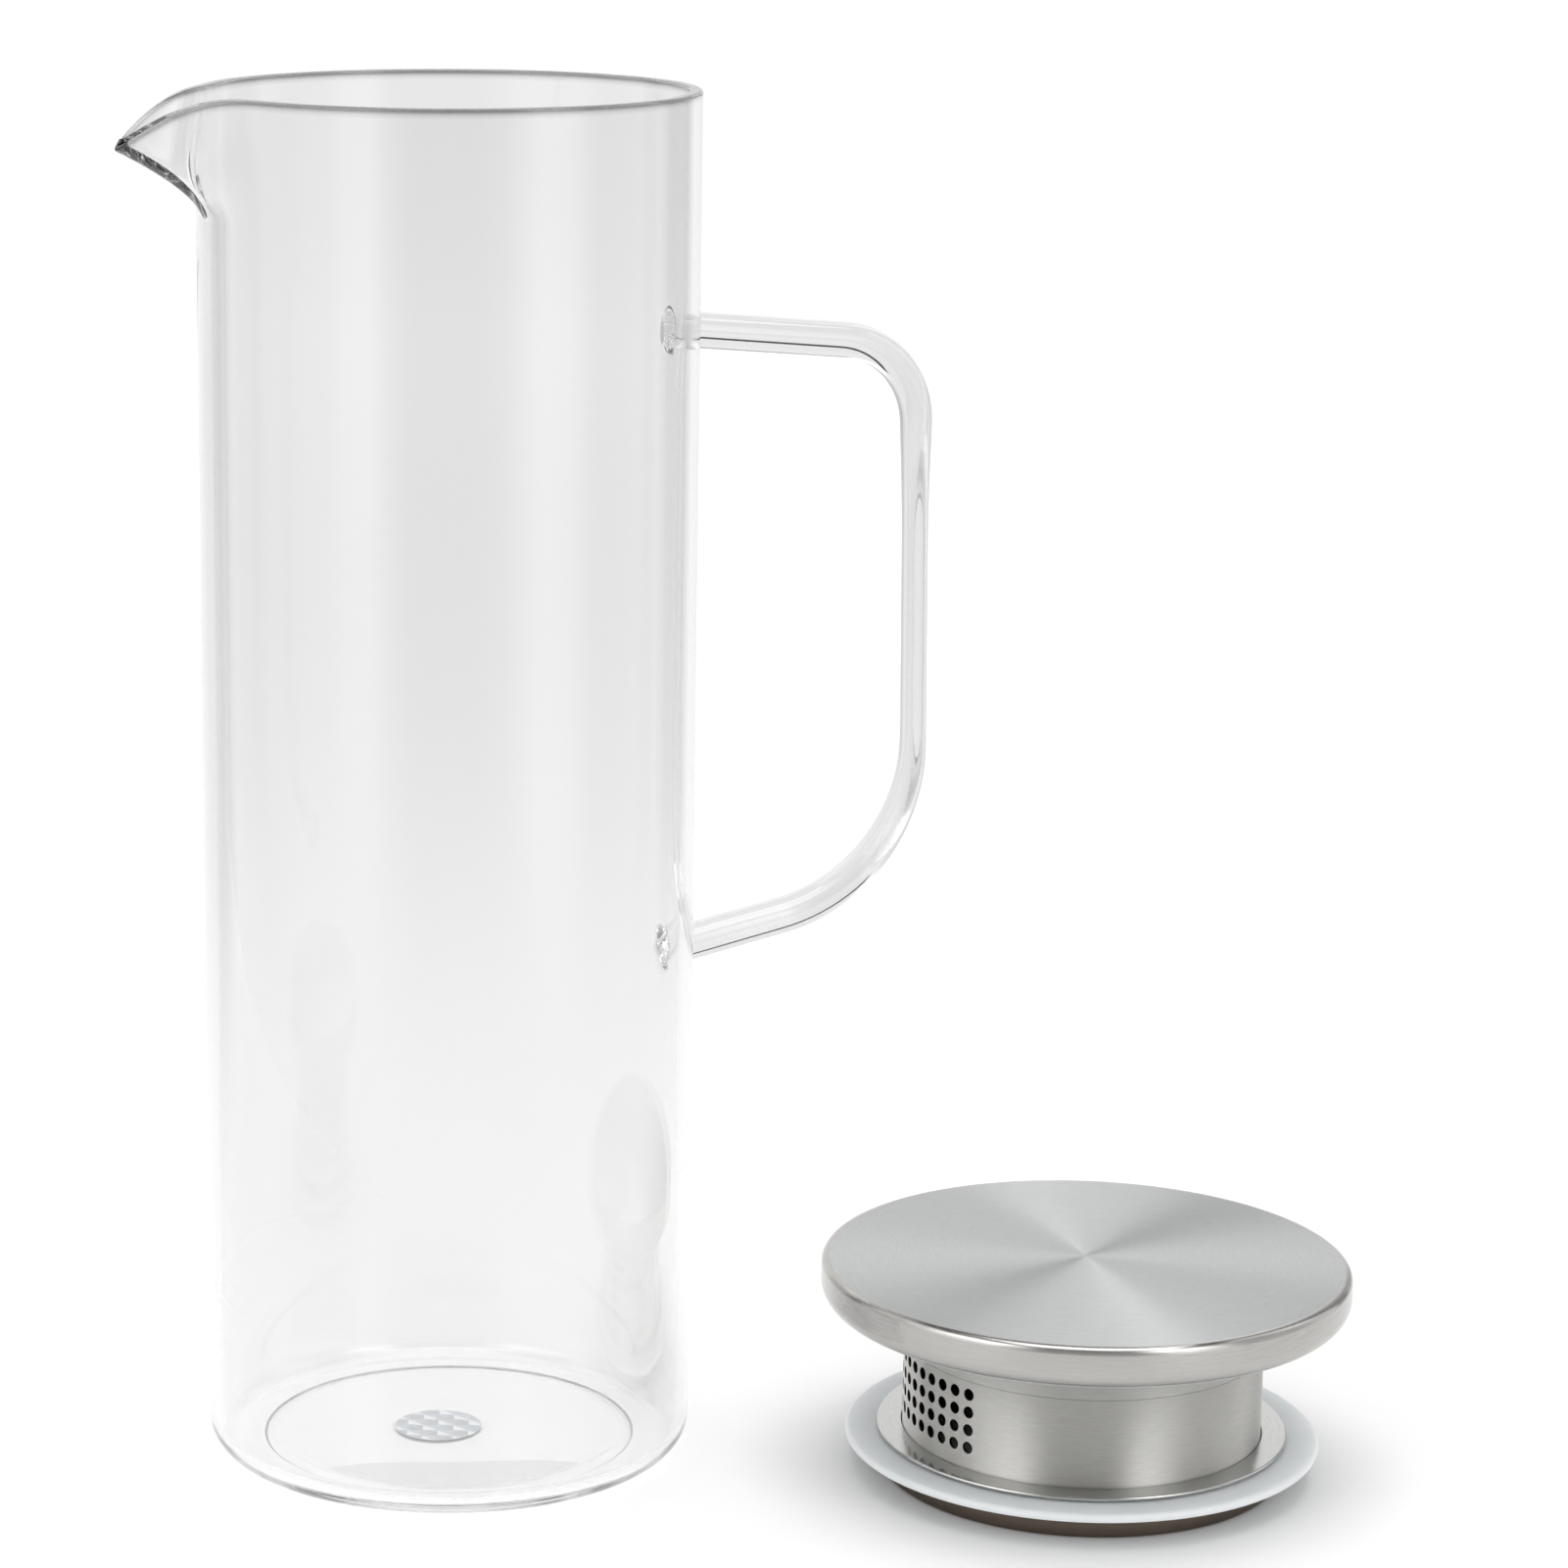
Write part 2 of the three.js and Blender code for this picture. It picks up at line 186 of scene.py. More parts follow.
# Pitcher handle: a rod of the same glass, flattened and bent hot to a loop, thinner along the grip.
# Both ends are pressed into the soft wall, so the handle and the body become one piece of glass.
HANDLE_TOP = 231 * MM
HANDLE_TOP_FALL = 5.7
HANDLE_FOOT = 102 * MM
HANDLE_FOOT_RISE = 11
GRIP_TOP_REACH = 101.4 * MM
GRIP_LOW_REACH = 103 * MM
TOP_BEND = 18 * MM
LOW_BEND = 36 * MM
HANDLE_WIDTH = 9 * MM
ARM_THICKNESS = 7.4 * MM
GRIP_THICKNESS = 4.6 * MM
GRIP_LENGTH = 36 * MM
ROOT_DEPTH = 0.6 * BODY_WALL
WELD_FILLET = 1.6 * MM
HANDLE_SIDES = 40
RUN_STEPS = 40
BEND_STEPS = 24


def arm_point(height, slope, reach):
    """A point of one of the handle's arms, which leaves the wall at a height and climbs or falls outwards."""
    return Vector((reach, height + (reach - BODY_RADIUS) * math.tan(math.radians(slope))))


def bend(before, corner, after, radius):
    """Points of the arc that rounds a corner of the handle's line."""
    back = (before - corner).normalized()
    onward = (after - corner).normalized()
    half = back.angle(onward) / 2
    centre = corner + (back + onward).normalized() * radius / math.sin(half)
    leave = corner + back * radius / math.tan(half) - centre
    sweep = math.pi - 2 * half
    return [
        centre + Vector((
            leave.x * math.cos(turn) + leave.y * math.sin(turn),
            leave.y * math.cos(turn) - leave.x * math.sin(turn),
        ))
        for turn in [sweep * i / BEND_STEPS for i in range(BEND_STEPS + 1)]
    ]


def straight(first, last):
    """Points of a straight stretch of the handle's line, without its first one."""
    return [Vector(point) for point in between(first, last, RUN_STEPS)]


def smooth_rise(value, low, high):
    """0 below low, 1 above high, and a soft step between them."""
    share = min(1, max(0, (value - low) / (high - low)))
    return share * share * (3 - 2 * share)


root_reach = BODY_RADIUS - ROOT_DEPTH
top_root = arm_point(HANDLE_TOP, -HANDLE_TOP_FALL, root_reach)
top_corner = arm_point(HANDLE_TOP, -HANDLE_TOP_FALL, GRIP_TOP_REACH)
low_corner = arm_point(HANDLE_FOOT, HANDLE_FOOT_RISE, GRIP_LOW_REACH)
low_root = arm_point(HANDLE_FOOT, HANDLE_FOOT_RISE, root_reach)
top_bend = bend(top_root, top_corner, low_corner, TOP_BEND)
low_bend = bend(top_corner, low_corner, low_root, LOW_BEND)
handle_line = [
    top_root,
    *straight(top_root, top_bend[0]),
    *top_bend[1:],
    *straight(top_bend[-1], low_bend[0]),
    *low_bend[1:],
    *straight(low_bend[-1], low_root),
]


def handle_ring(index):
    """The oval ring of points at one station of the handle's line, spread to a fillet at the wall."""
    here = handle_line[index]
    along = (handle_line[min(index + 1, len(handle_line) - 1)] - handle_line[max(index - 1, 0)]).normalized()
    from_middle = 2 * abs(here.y - (HANDLE_TOP + HANDLE_FOOT) / 2)
    arm = smooth_rise(from_middle, GRIP_LENGTH, HANDLE_TOP - HANDLE_FOOT)
    thick = GRIP_THICKNESS + (ARM_THICKNESS - GRIP_THICKNESS) * arm
    ring = []
    for side in range(HANDLE_SIDES):
        turn = 2 * math.pi * side / HANDLE_SIDES
        lift = thick / 2 * math.cos(turn)
        spread = Vector((-lift * along.y, HANDLE_WIDTH / 2 * math.sin(turn), lift * along.x))
        centre = Vector((here.x, 0, here.y))
        off_wall = math.hypot(centre.x + spread.x, spread.y) - BODY_RADIUS
        rest = 1 - min(1, max(0, off_wall / WELD_FILLET))
        fillet = WELD_FILLET * (1 - math.sqrt(1 - rest * rest))
        ring.append(PITCHER_AXIS + centre + spread * (1 + fillet / spread.length))
    return ring


bpy.ops.object.select_all(action="DESELECT")
bpy.ops.mesh.primitive_circle_add(vertices=HANDLE_SIDES, radius=HANDLE_WIDTH / 2)
handle = bpy.context.object
handle.name = "handle_rod"
for corner, place in zip(handle.data.vertices, handle_ring(0)):
    corner.co = place
bpy.ops.object.mode_set(mode="EDIT")
bpy.ops.mesh.select_all(action="SELECT")
for index in range(1, len(handle_line)):
    bpy.ops.mesh.extrude_region_move()
    rod = bmesh.from_edit_mesh(handle.data)
    front = [v for v in rod.verts if v.select]
    before = handle_ring(index - 1)
    after = handle_ring(index)
    for corner in front:
        nearest = min(range(HANDLE_SIDES), key=lambda i: (before[i] - corner.co).length_squared)
        corner.co = after[nearest]
    bmesh.update_edit_mesh(handle.data)
bpy.ops.mesh.select_all(action="DESELECT")
bpy.ops.mesh.select_non_manifold()
bpy.ops.mesh.edge_face_add()
bpy.ops.mesh.select_all(action="SELECT")
bpy.ops.mesh.normals_make_consistent(inside=False)
bpy.ops.object.mode_set(mode="OBJECT")


def apply_modifier(piece, modifier):
    """Makes a modifier's result the piece's own mesh."""
    bpy.context.view_layer.objects.active = piece
    bpy.ops.object.modifier_apply(modifier=modifier.name)


def combine(piece, other, operation):
    """Joins a piece with another solid, or keeps only what lies in both, and takes the other away."""
    joining = piece.modifiers.new("joining", "BOOLEAN")
    joining.operation = operation
    joining.solver = "EXACT"
    joining.object = other
    apply_modifier(piece, joining)
    bpy.data.objects.remove(other)


SOFT_EDGE = math.radians(40)


def smooth(piece):
    """Shades a piece smooth, apart from its sharp edges."""
    bpy.ops.object.select_all(action="DESELECT")
    piece.select_set(True)
    bpy.context.view_layer.objects.active = piece
    bpy.ops.object.shade_smooth_by_angle(angle=SOFT_EDGE)


combine(pitcher, handle, "UNION")
smooth(pitcher)


def linear(hex_code):
    """An sRGB hex colour as linear RGBA."""
    shares = [int(hex_code[i:i + 2], 16) / 255 for i in (1, 3, 5)]
    return (*[s / 12.92 if s <= 0.04045 else ((s + 0.055) / 1.055) ** 2.4 for s in shares], 1)


def node(tree, kind, inputs=None, links=None, **settings):
    """Adds a node with its settings and input values, and links outputs of earlier nodes to its inputs."""
    made = tree.nodes.new(kind)
    for name, value in settings.items():
        setattr(made, name, value)
    for socket, value in (inputs or {}).items():
        made.inputs[socket].default_value = value
    for socket, source in (links or {}).items():
        tree.links.new(source, made.inputs[socket])
    return made


def new_material(name, inputs):
    """A material with its shader joined to its output: the material, its node tree and the shader."""
    made = bpy.data.materials.new(name)
    made.use_nodes = True
    tree = made.node_tree
    tree.nodes.clear()
    shader = node(tree, "ShaderNodeBsdfPrincipled", inputs)
    node(tree, "ShaderNodeOutputMaterial", links={"Surface": shader.outputs[0]})
    return made, tree, shader


def dress(piece, material):
    """Gives a piece one material all over."""
    piece.data.materials.clear()
    piece.data.materials.append(material)


# The lip and the rod gather light from all round and look greyer than the wall. That grey is painted shade in
# the glass's colour, and each corner keeps its own share of it.
RIM_SHADE = 1.1 * MM
ROD_PAINTED_SHADE = 0.18
painted_rim_shade = pitcher.data.attributes.new("painted_rim_shade", "FLOAT", "POINT")
for corner in pitcher.data.vertices:
    offset = corner.co - PITCHER_AXIS
    if offset.z > ZONE_FOOT:
        angle = math.degrees(math.atan2(-offset.y, -offset.x))
        lip = outer_skin(angle, 1)
        below = (lip - offset).dot((lip - outer_skin(angle, 1 - SKIN_STEP)).normalized())
        painted_rim_shade.data[corner.index].value = 1 - smooth_rise(below, 0, RIM_SHADE)
    elif offset.to_2d().length > BODY_RADIUS + MERGE_GAP:
        painted_rim_shade.data[corner.index].value = ROD_PAINTED_SHADE

# Clear borosilicate glass, drawn and fire-polished: colourless, with faint long waves along the draw
# that bend reflections a little.
DRAW_WAVE = 14 * MM
DRAW_WAVE_LENGTH = 160 * MM
DRAW_WAVE_HEIGHT = 0.02 * MM
DRAW_WAVE_STRENGTH = 0.25
GLASS_DENSITY = 2
glass, tree, shader = new_material(
    "drawn_borosilicate_glass", {"Roughness": 0, "IOR": 1.474, "Transmission Weight": 1},
)
painted_shade = node(tree, "ShaderNodeAttribute", attribute_name=painted_rim_shade.name)
clear = node(tree, "ShaderNodeValToRGB", links={"Fac": painted_shade.outputs["Fac"]})
# The ramp runs from the clear glass's colour to the painted shade at the lip and along the rod.
clear.color_ramp.elements[0].color = linear("#F6F6F6")
clear.color_ramp.elements[1].color = linear("#7C7C7C")
tree.links.new(clear.outputs[0], shader.inputs["Base Color"])
place = node(tree, "ShaderNodeTexCoord")
drawn = node(
    tree, "ShaderNodeMapping", {"Scale": [1 / size for size in (DRAW_WAVE, DRAW_WAVE, DRAW_WAVE_LENGTH)]},
    {"Vector": place.outputs["Object"]},
)
waves = node(tree, "ShaderNodeTexNoise", {"Scale": 1, "Detail": 1}, {"Vector": drawn.outputs[0]})
bump = node(
    tree, "ShaderNodeBump", {"Strength": DRAW_WAVE_STRENGTH, "Distance": DRAW_WAVE_HEIGHT},
    {"Height": waves.outputs[0]},
)
tree.links.new(bump.outputs[0], shader.inputs["Normal"])
depth = node(tree, "ShaderNodeVolumeAbsorption", {"Color": linear("#C0C0C0"), "Density": GLASS_DENSITY})
surface = tree.nodes["Material Output"]
tree.links.new(depth.outputs[0], surface.inputs["Volume"])
dress(pitcher, glass)
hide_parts("glass_body", "glass_handle")
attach(pitcher, "pitcher")

# Lamps shine through clear glass, which a traced shadow would stop, so the glass leaves its lamp shadow out.
pitcher.visible_shadow = False

# Foil dot: a round of thin plastic foil, pressed into prisms that glint, stuck under the pushed-up base.
# It is stamped from a sheet of square pyramids and lies flat against the glass.
dot_low, dot_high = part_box("foil_dot")
DOT_RADIUS = (dot_high.y - dot_low.y) / 2
DOT_MIDDLE = (dot_low + dot_high) / 2
DOT_SIDES = 96
PRISM = 4.5 * MM
PRISM_RISE = 0.12 * MM
PRISM_TURN = 25
prisms = round(2 * DOT_RADIUS / PRISM) + 1
foil_depth = dot_high.z - dot_low.z - PRISM_RISE
bpy.ops.object.select_all(action="DESELECT")
bpy.ops.mesh.primitive_grid_add(
    x_subdivisions=prisms, y_subdivisions=prisms, size=prisms * PRISM,
    location=(DOT_MIDDLE.x, DOT_MIDDLE.y, dot_high.z - PRISM_RISE),
    rotation=(0, 0, math.radians(PRISM_TURN)),
)
foil = bpy.context.object
foil.name = "foil_dot_prisms"
bpy.ops.object.transform_apply(location=True, rotation=True)
bpy.ops.object.mode_set(mode="EDIT")
bpy.ops.mesh.select_all(action="SELECT")
bpy.ops.mesh.poke(offset=PRISM_RISE)
bpy.ops.mesh.select_all(action="SELECT")
bpy.ops.mesh.extrude_region_move(TRANSFORM_OT_translate={"value": (0, 0, -foil_depth)})
bpy.ops.mesh.select_all(action="SELECT")
bpy.ops.mesh.normals_make_consistent(inside=False)
bpy.ops.object.mode_set(mode="OBJECT")
bpy.ops.object.select_all(action="DESELECT")
bpy.ops.mesh.primitive_cylinder_add(vertices=DOT_SIDES, radius=DOT_RADIUS, depth=PRISM, location=DOT_MIDDLE)
combine(foil, bpy.context.object, "INTERSECT")

# Prismatic foil: clear plastic over bright metal, pressed in facets. Each facet is painted by the way it
# faces,
# white or pale grey: painted glints and painted shade for the light off the tilted prisms.
painted_glint_colours = [linear(code) for code in ("#FFFFFF", "#BCC4CA", "#D2D7DB", "#C6CDD2")]
painted_glints_by_facet = foil.data.color_attributes.new("painted_glint_layer", "FLOAT_COLOR", "CORNER")
# The quarter that a facet faces picks its painted glint or painted shade.
for face in foil.data.polygons:
    quarter = math.floor(math.atan2(face.normal.y, face.normal.x) / (math.pi / 2))
    for corner in face.loop_indices:
        painted_glints_by_facet.data[corner].color = painted_glint_colours[quarter % len(painted_glint_colours)]
prismatic, tree, shader = new_material("prismatic_foil", {"Metallic": 0.3, "Roughness": 0.25})
glint_colour = node(tree, "ShaderNodeVertexColor", layer_name=painted_glints_by_facet.name)
tree.links.new(glint_colour.outputs["Color"], shader.inputs["Base Color"])
dress(foil, prismatic)
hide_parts("foil_dot")
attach(foil, "pitcher")

# Lid cap: a dish pressed from stainless sheet, with a crowned top, a rounded side and a lip turned in below.
# The top and side are brushed on a lathe, so fine scratches run round the axis.
cap_low, cap_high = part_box("cap_shell")
LID_AXIS = Vector(((cap_low.x + cap_high.x) / 2, (cap_low.y + cap_high.y) / 2, 0))
CAP_RADIUS = (cap_high.x - cap_low.x) / 2
CAP_CROWN = 0.8 * MM
CAP_TOP_ROUND = 1.6 * MM
CAP_LOW_ROUND = 4.3 * MM
CAP_LIP = 1.8 * MM
CROWN_STEPS = 10
SHEET = 0.8 * MM
LID_SEGMENTS = 192


def lid_piece(name, section, closed=False):
    """A piece of the lid, turned round its axis and shaded smooth."""
    piece = turn_profile(name, section, LID_AXIS, LID_SEGMENTS, closed)
    smooth(piece)
    return piece


top_end = CAP_RADIUS - CAP_TOP_ROUND
shoulder = cap_high.z - CAP_CROWN - CAP_TOP_ROUND
belly_r = CAP_RADIUS - CAP_LOW_ROUND
belly_z = cap_low.z + CAP_LOW_ROUND
crown = [(top_end * s, cap_high.z - CAP_CROWN * s * s) for s in [i / CROWN_STEPS for i in range(CROWN_STEPS)]]
cap_section = [
    *[(r, z - SHEET) for r, z in crown],
    *arc(top_end, shoulder, CAP_TOP_ROUND - SHEET, 90, 0, steps=10),
    *arc(belly_r, belly_z, CAP_LOW_ROUND - SHEET, 0, -90, steps=12),
    (belly_r - CAP_LIP, cap_low.z + SHEET),
    (belly_r - CAP_LIP, cap_low.z),
    *arc(belly_r, belly_z, CAP_LOW_ROUND, -90, 0, steps=16),
    *arc(top_end, shoulder, CAP_TOP_ROUND, 0, 90, steps=12),
    *reversed(crown),
]
cap = lid_piece("lid_cap", cap_section)

# Brushed stainless steel: a turn of a quarter lays the stretched highlight across the scratches.
# The real scratches are about 0.1 mm apart, and are drawn coarser here so that they show.
BRUSH_GAP = 0.25 * MM
BRUSH_TURN = 0.25
BRUSH_BUMP = 0.5
STREAKS_ROUND = 10
SCRATCH_TONES = ((0.3, 0.93), (0.7, 1.05))
ROUGHNESS_SPREAD = 0.04


def brushed_steel(name, colour, roughness, brush_depth, stretch=1):
    """Stainless sheet brushed round the lid's axis, with fine lines in its tone, gloss and surface."""
    made, tree, shader = new_material(
        name, {"Metallic": 1, "Anisotropic": stretch, "Anisotropic Rotation": BRUSH_TURN},
    )
    place = node(tree, "ShaderNodeTexCoord")
    centred = node(tree, "ShaderNodeMapping", {"Location": -LID_AXIS}, {"Vector": place.outputs["Object"]})
    flat = node(tree, "ShaderNodeVectorMath", {1: (1, 1, 0)}, {0: centred.outputs[0]}, operation="MULTIPLY")
    radius = node(tree, "ShaderNodeVectorMath", links={0: flat.outputs[0]}, operation="LENGTH")
    around = node(tree, "ShaderNodeVectorMath", links={0: flat.outputs[0]}, operation="NORMALIZE")
    height = node(tree, "ShaderNodeSeparateXYZ", links={0: centred.outputs[0]})
    across = node(
        tree, "ShaderNodeMath", links={0: radius.outputs["Value"], 1: height.outputs["Z"]}, operation="ADD",
    )
    lines = node(tree, "ShaderNodeMath", {1: 1 / BRUSH_GAP}, {0: across.outputs[0]}, operation="MULTIPLY")
    streak = node(tree, "ShaderNodeCombineXYZ", links={"Z": lines.outputs[0]})
    wrapped = node(
        tree, "ShaderNodeVectorMath", {1: (STREAKS_ROUND, STREAKS_ROUND, 0)},
        {0: around.outputs[0], 2: streak.outputs[0]}, operation="MULTIPLY_ADD",
    )
    scratches = node(tree, "ShaderNodeTexNoise", {"Scale": 1, "Detail": 3}, {"Vector": wrapped.outputs[0]})
    shade = node(tree, "ShaderNodeValToRGB", links={"Fac": scratches.outputs[0]})
    for stop, (level, tone) in zip(shade.color_ramp.elements, SCRATCH_TONES):
        stop.position = level
        stop.color = (*[tone * share for share in linear(colour)[:3]], 1)
    tree.links.new(shade.outputs[0], shader.inputs["Base Color"])
    rough = node(
        tree, "ShaderNodeMapRange",
        {"To Min": roughness - ROUGHNESS_SPREAD, "To Max": roughness + ROUGHNESS_SPREAD},
        {"Value": scratches.outputs[0]},
    )
    tree.links.new(rough.outputs[0], shader.inputs["Roughness"])
    bump = node(
        tree, "ShaderNodeBump", {"Strength": BRUSH_BUMP, "Distance": brush_depth},
        {"Height": scratches.outputs[0]},
    )
    tree.links.new(bump.outputs[0], shader.inputs["Normal"])
    turning = node(tree, "ShaderNodeTangent", direction_type="RADIAL", axis="Z")
    tree.links.new(turning.outputs[0], shader.inputs["Tangent"])
    return made


def finish_steel(piece, node_name, material):
    """Gives a steel piece its finish, and puts it in the place of its plain solid."""
    dress(piece, material)
    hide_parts(node_name)
    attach(piece, "lid")


satin_steel = brushed_steel("lathe_brushed_steel", "#C9CACA", 0.44, 0.004 * MM, 0.85)
# The side is buffed to a higher gloss than the top, and its darker, warmer colour is painted shade.
cap_side_painted_shade_steel = brushed_steel("buffed_steel_painted_shade", "#B9B7B4", 0.2, 0.002 * MM, 0.9)
finish_steel(cap, "cap_shell", satin_steel)
cap.data.materials.append(cap_side_painted_shade_steel)
for face in cap.data.polygons:
    if (face.center - LID_AXIS).to_2d().length > top_end:
        face.material_index = 1

# Cap underplate: a flat disc of the same sheet that lies on the cap's lip and is spot welded to it.
# It closes the cap, so that no water gets in.
plate_low, plate_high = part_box("cap_underplate")
plate_radius = (plate_high.x - plate_low.x) / 2
PLATE_EDGE = 0.2 * MM
plate_section = [
    (0, plate_low.z),
    (plate_radius - PLATE_EDGE, plate_low.z),
    *arc(plate_radius - PLATE_EDGE, plate_low.z + PLATE_EDGE, PLATE_EDGE, -90, 0, steps=4),
    *arc(plate_radius - PLATE_EDGE, plate_high.z - PLATE_EDGE, PLATE_EDGE, 0, 90, steps=4),
    (0, plate_high.z),
]
plate = lid_piece("lid_underplate", plate_section)
finish_steel(plate, "cap_underplate", satin_steel)

# Neck collar: a short sleeve welded under the plate, with a spigot that the strainer tube is pushed over.
# Its foot shows as a fine seam round the neck.
collar_low, collar_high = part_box("neck_collar")
NECK_RADIUS = (collar_high.x - collar_low.x) / 2
CLEARANCE = 0.3 * MM
NECK_SHEET = 0.5 * MM
spigot_outer = NECK_RADIUS - NECK_SHEET - CLEARANCE
spigot_inner = spigot_outer - SHEET
SEAM_GAP = 0.04 * MM
SEAM_EDGE = 0.08 * MM
sleeve_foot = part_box("strainer_neck")[1].z + SEAM_GAP
collar_section = [
    (spigot_inner, collar_low.z),
    (spigot_outer, collar_low.z),
    (spigot_outer, sleeve_foot),
    *arc(NECK_RADIUS - SEAM_EDGE, sleeve_foot + SEAM_EDGE, SEAM_EDGE, -90, 0, steps=4),
    (NECK_RADIUS, collar_high.z),
    (spigot_inner, collar_high.z),
]
collar = lid_piece("lid_neck_collar", collar_section, closed=True)
neck_steel = brushed_steel("neck_brushed_steel", "#D6D5D1", 0.5, 0.003 * MM)
finish_steel(collar, "neck_collar", neck_steel)

# Strainer neck: stainless sheet punched with a patch of round holes while flat, then rolled and seam welded.
# The patch faces the spout when the lid is on.
neck_low, neck_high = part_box("strainer_neck")
HOLE_RADIUS = 1.25 * MM
HOLE_PITCH = 3.75 * MM
HOLE_ROWS = 4
HOLE_COLUMNS = 10
LOWEST_HOLE = 13.2 * MM
PITCH_CUTS = 8
REST_CUTS = 120
BAND_CUTS = 6
HOLE_SIDES = 4 * PITCH_CUTS
girth = 2 * math.pi * NECK_RADIUS
patch_left = -HOLE_COLUMNS * HOLE_PITCH / 2
patch_foot = LOWEST_HOLE - HOLE_PITCH / 2
patch_top = patch_foot + HOLE_ROWS * HOLE_PITCH

# One square of the sheet, with the punched hole bridged to its edge
bpy.ops.object.select_all(action="DESELECT")
tile_middle = Vector((patch_left + HOLE_PITCH / 2, 0, LOWEST_HOLE))
upright = (math.pi / 2, 0, 0)
bpy.ops.mesh.primitive_grid_add(
    x_subdivisions=PITCH_CUTS, y_subdivisions=PITCH_CUTS, size=HOLE_PITCH,
    location=tile_middle, rotation=upright,
)
neck = bpy.context.object
neck.name = "lid_strainer_neck"
bpy.ops.object.transform_apply(location=True, rotation=True)
bpy.ops.object.mode_set(mode="EDIT")
bpy.ops.mesh.select_all(action="SELECT")
bpy.ops.mesh.delete(type="ONLY_FACE")
tile = bmesh.from_edit_mesh(neck.data)
half = HOLE_PITCH / 2 - MERGE_GAP
inner = [v for v in tile.verts if max(abs(v.co.x - tile_middle.x), abs(v.co.z - tile_middle.z)) < half]
bmesh.ops.delete(tile, geom=inner, context="VERTS")
bmesh.update_edit_mesh(neck.data)
bpy.ops.mesh.primitive_circle_add(
    vertices=HOLE_SIDES, radius=HOLE_RADIUS, location=tile_middle,
    rotation=(math.pi / 2, math.radians(45), 0),
)
bpy.ops.mesh.select_all(action="SELECT")
bpy.ops.mesh.bridge_edge_loops()
bpy.ops.object.mode_set(mode="OBJECT")
for step, count in (((HOLE_PITCH, 0, 0), HOLE_COLUMNS), ((0, 0, HOLE_PITCH), HOLE_ROWS)):
    row = neck.modifiers.new("punching", "ARRAY")
    row.use_relative_offset = False
    row.use_constant_offset = True
    row.constant_offset_displace = step
    row.count = count
    row.use_merge_vertices = True
    row.merge_threshold = MERGE_GAP
    apply_modifier(neck, row)

# The plain sheet below, above and beside the patch
bpy.ops.object.mode_set(mode="EDIT")
spans = [(patch_left, -patch_left, HOLE_COLUMNS * PITCH_CUTS), (-patch_left, girth + patch_left, REST_CUTS)]
bands = [
    (neck_low.z, patch_foot, BAND_CUTS),
    (patch_foot, patch_top, HOLE_ROWS * PITCH_CUTS),
    (patch_top, neck_high.z, BAND_CUTS),
]
for left, right, columns in spans:
    for foot, top, rows in bands:
        if (left, foot) == (patch_left, patch_foot):
            continue
        middle = ((left + right) / 2, 0, (foot + top) / 2)
        bpy.ops.mesh.primitive_grid_add(
            x_subdivisions=columns, y_subdivisions=rows, size=1, rotation=upright, location=middle,
        )
        bpy.ops.transform.resize(value=(right - left, 1, top - foot), center_override=middle)
bpy.ops.object.mode_set(mode="OBJECT")

# Rolled to a tube, with the seam opposite the patch's middle closed
for corner in neck.data.vertices:
    turn = math.pi + corner.co.x / NECK_RADIUS
    corner.co = LID_AXIS + Vector((NECK_RADIUS * math.cos(turn), NECK_RADIUS * math.sin(turn), corner.co.z))
bpy.ops.object.mode_set(mode="EDIT")
bpy.ops.mesh.select_all(action="SELECT")
bpy.ops.mesh.remove_doubles(threshold=MERGE_GAP)
bpy.ops.mesh.normals_make_consistent(inside=False)
bpy.ops.object.mode_set(mode="OBJECT")
finish_steel(neck, "strainer_neck", neck_steel)
# The inside of the tube and the walls of the holes take dark steel: painted shade for the dim inside of the
# neck.
painted_shade_steel = brushed_steel("pressed_steel_painted_shade", "#6A6056", 0.2, 0.002 * MM, 0.9)
neck.data.materials.append(painted_shade_steel)
wall = neck.modifiers.new("sheet", "SOLIDIFY")
wall.thickness = NECK_SHEET
wall.offset = -1
wall.material_offset = 1
wall.material_offset_rim = 1
apply_modifier(neck, wall)
smooth(neck)

# Upper flange: a thin steel washer spot welded round the neck, which holds the seal from above.
# Its edge is rounded, and it mirrors the neck.
flange_low, flange_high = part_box("upper_flange")
flange_radius = (flange_high.x - flange_low.x) / 2
sleeve_inside = NECK_RADIUS + CLEARANCE
flange_section = [
    (sleeve_inside, flange_low.z),
    *arc(flange_radius - SHEET / 2, flange_low.z + SHEET / 2, SHEET / 2, -90, 90, steps=10),
    (sleeve_inside, flange_high.z),
]
flange = lid_piece("lid_upper_flange", flange_section, closed=True)
plain_steel = brushed_steel("pressed_steel", "#C6C6C4", 0.15, 0.001 * MM, 0.9)
finish_steel(flange, "upper_flange", plain_steel)

# Seal ring: a flat ring moulded from translucent silicone, held between the two flanges.
# Its rounded edge bends against the glass and seals the mouth.
seal_low, seal_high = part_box("seal_ring")
seal_radius = (seal_high.x - seal_low.x) / 2
seal_edge = (seal_high.z - seal_low.z) / 2
seal_section = [
    (sleeve_inside, seal_low.z),
    *between((sleeve_inside, seal_low.z), (seal_radius - seal_edge, seal_low.z), steps=6)[:-1],
    *arc(seal_radius - seal_edge, seal_low.z + seal_edge, seal_edge, -90, 90, steps=14),
    *between((seal_radius - seal_edge, seal_high.z), (sleeve_inside, seal_high.z), steps=6),
]
seal = lid_piece("seal_ring_silicone", seal_section, closed=True)

